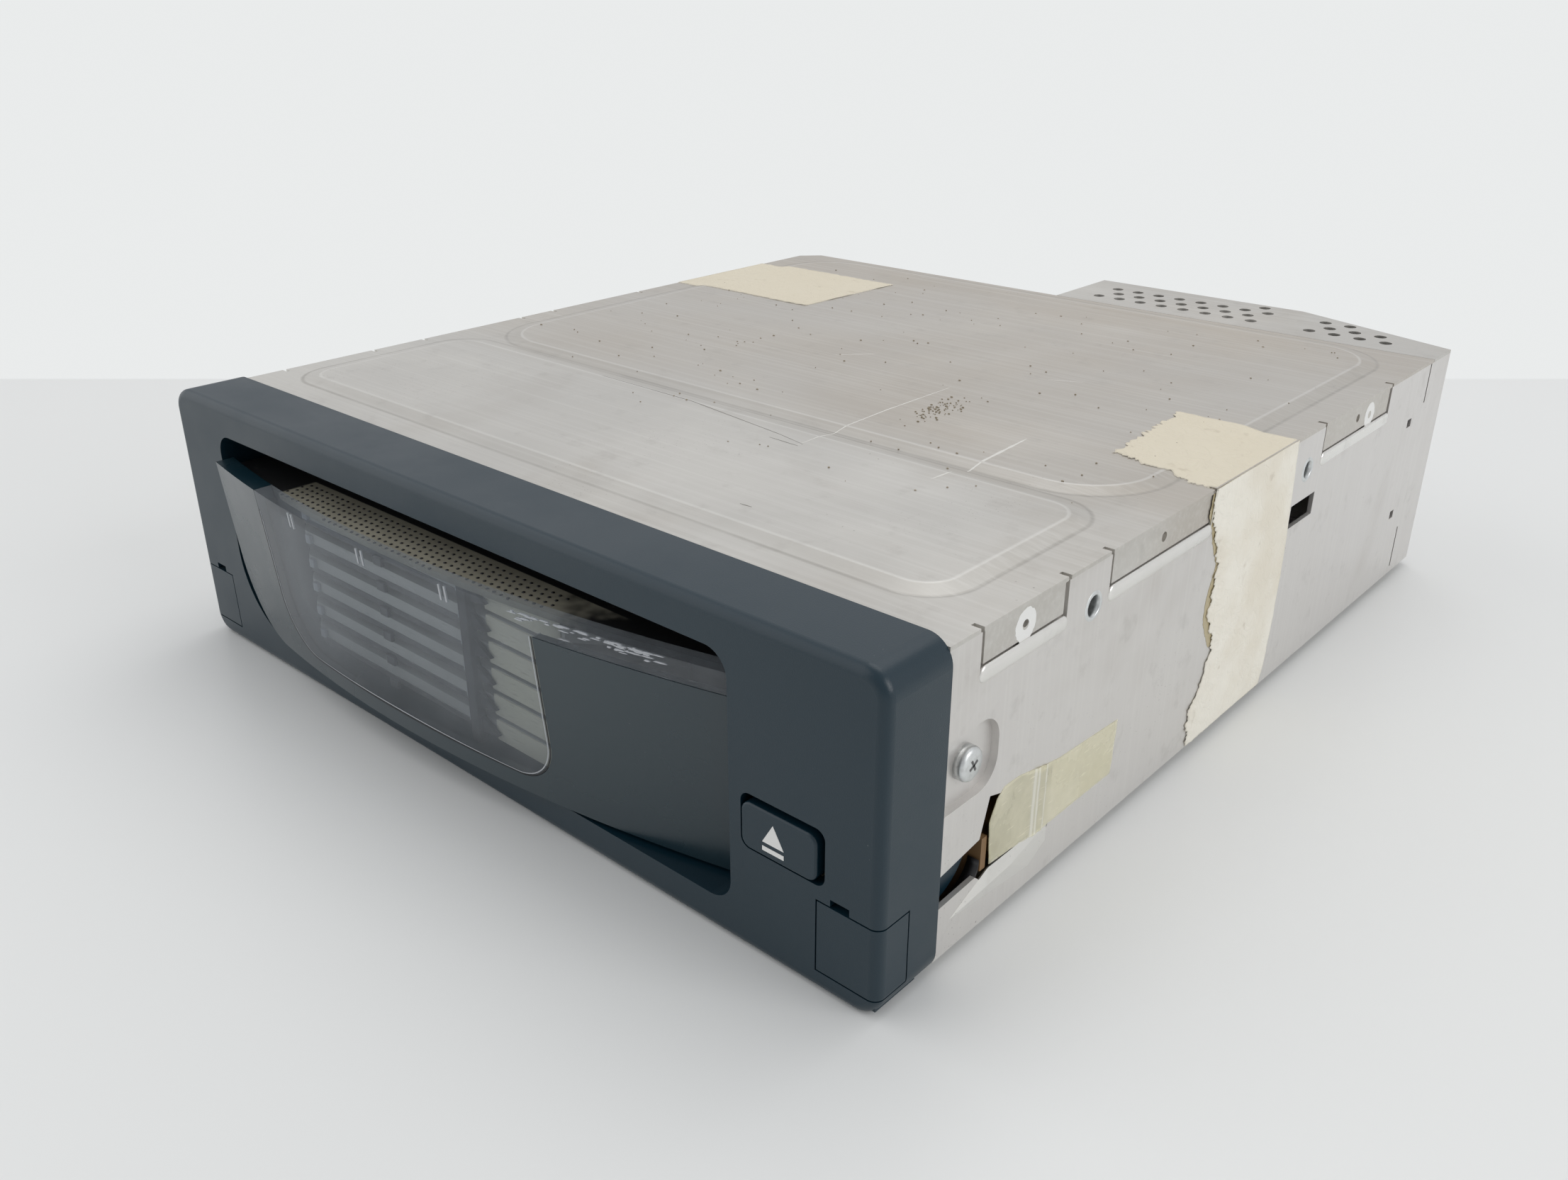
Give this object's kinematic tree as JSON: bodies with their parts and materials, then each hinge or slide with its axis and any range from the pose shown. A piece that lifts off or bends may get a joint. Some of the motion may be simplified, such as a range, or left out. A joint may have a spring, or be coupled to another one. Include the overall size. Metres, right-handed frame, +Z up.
{
  "type": "car cd changer",
  "caption": "Flat sheet-metal car disc changer with a plastic bezel, slide-out disc magazine with smoky window, eject button and a lift-and-play mechanism inside.",
  "frame": {"origin": "centre of the bounding box in plan, on the underside plane", "axes": "+X to the right seen from the front, +Y to the rear, +Z up; the front bezel faces -Y"},
  "size_m": [0.2194, 0.2754, 0.065],
  "materials": {
    "black_plastic": "fine moulded grain, worn",
    "dark_plastic": "plain moulded",
    "grey_plastic": "plain moulded",
    "tray_plastic": "plain moulded",
    "smoky_window": "polished, smoky",
    "zinc_steel": "zinc coated, stained",
    "plated_steel": "plated",
    "turned_steel": "turned",
    "spring_steel": "drawn wire",
    "damper_rubber": "soft",
    "gear_plastic": "moulded acetal",
    "board_laminate": "brown laminate",
    "part_black": "moulded case",
    "lens_glass": "coated",
    "contact_brass": "plated",
    "seal_paper": "uncoated paper",
    "clear_film": "creased adhesive film",
    "ribbon_film": "flat ribbon"
  },
  "bodies": {
    "housing": {"lower_chassis": "zinc_steel", "left_side_wall": "zinc_steel", "right_side_wall": "zinc_steel", "top_cover": "zinc_steel", "rear_vent_cover": "zinc_steel", "front_bezel": "black_plastic", "button_spring": "spring_steel", "bezel_screws": "plated_steel", "mechanism_frame": "zinc_steel", "rubber_dampers": "damper_rubber", "damper_screws": "plated_steel", "left_guide_rail": "dark_plastic", "right_guide_rail": "dark_plastic", "magazine_leaf_spring": "spring_steel", "guide_posts": "turned_steel", "top_bracket": "zinc_steel", "lift_motor": "turned_steel", "ejector_guide": "dark_plastic", "front_board": "board_laminate", "eject_switch": "part_black", "main_board": "board_laminate", "board_spacers": "turned_steel", "board_screws": "plated_steel", "board_components": "part_black", "ribbon_cable": "ribbon_film", "rear_connector": "part_black", "connector_pins": "contact_brass", "paper_seal_side": "seal_paper", "paper_seal_top": "seal_paper", "clear_tape": "clear_film"},
    "left_cap": {"left_screw_cap": "black_plastic"},
    "right_cap": {"right_screw_cap": "black_plastic"},
    "button": {"eject_button": "black_plastic"},
    "magazine": {"magazine_lower_shell": "dark_plastic", "magazine_upper_shell": "dark_plastic", "magazine_front": "black_plastic", "magazine_window": "smoky_window"},
    "tray_1": {"disc_tray_1": "tray_plastic"},
    "tray_2": {"disc_tray_2": "tray_plastic"},
    "tray_3": {"disc_tray_3": "tray_plastic"},
    "tray_4": {"disc_tray_4": "tray_plastic"},
    "tray_5": {"disc_tray_5": "tray_plastic"},
    "tray_6": {"disc_tray_6": "tray_plastic"},
    "carriage": {"lift_carriage": "zinc_steel", "play_deck": "zinc_steel", "sled_rods": "turned_steel", "spindle_motor": "turned_steel", "sled_motor": "turned_steel", "clamp_pin": "turned_steel"},
    "screw": {"lift_screw": "turned_steel", "lift_gear": "gear_plastic"},
    "pinion": {"lift_pinion": "contact_brass"},
    "platter": {"turntable": "dark_plastic"},
    "sled": {"pickup_sled": "part_black", "pickup_lens": "lens_glass"},
    "sled_drive": {"sled_screw": "turned_steel"},
    "clamp": {"clamp_arm": "zinc_steel"},
    "puck": {"clamp_puck": "dark_plastic"},
    "puller": {"tray_puller": "grey_plastic"},
    "ejector": {"magazine_ejector": "grey_plastic"}
  },
  "joints": [
    {"name": "left_cap_pull", "type": "slide", "parent": "housing", "child": "left_cap", "axis": [0, -1, 0], "range_m": [0, 0.015]},
    {"name": "right_cap_pull", "type": "slide", "parent": "housing", "child": "right_cap", "axis": [0, -1, 0], "range_m": [0, 0.015]},
    {"name": "eject_press", "type": "slide", "parent": "housing", "child": "button", "axis": [0, 1, 0], "range_m": [0, 0.0015], "stiffness_N_per_m": 300, "springref_m": -0.003, "deforming": ["button_spring"]},
    {"name": "magazine_slide", "type": "slide", "parent": "housing", "child": "magazine", "axis": [0, -1, 0], "range_m": [0, 0.15]},
    {"name": "tray_1_slide", "type": "slide", "parent": "magazine", "child": "tray_1", "axis": [0, 1, 0], "range_m": [0, 0.08]},
    {"name": "tray_2_slide", "type": "slide", "parent": "magazine", "child": "tray_2", "axis": [0, 1, 0], "range_m": [0, 0.08]},
    {"name": "tray_3_slide", "type": "slide", "parent": "magazine", "child": "tray_3", "axis": [0, 1, 0], "range_m": [0, 0.08]},
    {"name": "tray_4_slide", "type": "slide", "parent": "magazine", "child": "tray_4", "axis": [0, 1, 0], "range_m": [0, 0.08]},
    {"name": "tray_5_slide", "type": "slide", "parent": "magazine", "child": "tray_5", "axis": [0, 1, 0], "range_m": [0, 0.08]},
    {"name": "tray_6_slide", "type": "slide", "parent": "magazine", "child": "tray_6", "axis": [0, 1, 0], "range_m": [0, 0.08]},
    {"name": "carriage_lift", "type": "slide", "parent": "housing", "child": "carriage", "axis": [0, 0, 1], "range_m": [0, 0.02975]},
    {"name": "lift_screw_turn", "type": "hinge", "parent": "housing", "child": "screw", "pos_m": [0.052, 0.09875, 0.01], "axis": [0, 0, 1], "range_deg": [-5, 900]},
    {"name": "lift_pinion_turn", "type": "hinge", "parent": "housing", "child": "pinion", "pos_m": [0.052, 0.11475, 0.008], "axis": [0, 0, 1], "range_deg": [-2700, 15]},
    {"name": "turntable_spin", "type": "hinge", "parent": "carriage", "child": "platter", "pos_m": [-0.008, 0.02275, 0.014], "axis": [0, 0, 1], "continuous": true},
    {"name": "sled_travel", "type": "slide", "parent": "carriage", "child": "sled", "axis": [0, 1, 0], "range_m": [0, 0.036]},
    {"name": "sled_screw_turn", "type": "hinge", "parent": "carriage", "child": "sled_drive", "pos_m": [0.018, 0.06075, 0.0085], "axis": [0, 1, 0], "range_deg": [-5, 2170]},
    {"name": "clamp_lift", "type": "hinge", "parent": "carriage", "child": "clamp", "pos_m": [-0.008, 0.08875, 0.0236], "axis": [-1, 0, 0], "range_deg": [0, 5]},
    {"name": "clamp_puck_spin", "type": "hinge", "parent": "clamp", "child": "puck", "pos_m": [-0.008, 0.02275, 0.02], "axis": [0, 0, 1], "continuous": true},
    {"name": "tray_pull", "type": "slide", "parent": "carriage", "child": "puller", "axis": [0, 1, 0], "range_m": [0, 0.078]},
    {"name": "magazine_eject", "type": "slide", "parent": "housing", "child": "ejector", "axis": [0, -1, 0], "range_m": [0, 0.0117]}
  ],
  "couplings": [
    {"joint": "lift_screw_turn", "follows": "carriage_lift", "rad_per_m": 523.6},
    {"joint": "lift_pinion_turn", "follows": "carriage_lift", "rad_per_m": -1570.8},
    {"joint": "sled_screw_turn", "follows": "sled_travel", "rad_per_m": 1047.2}
  ]
}
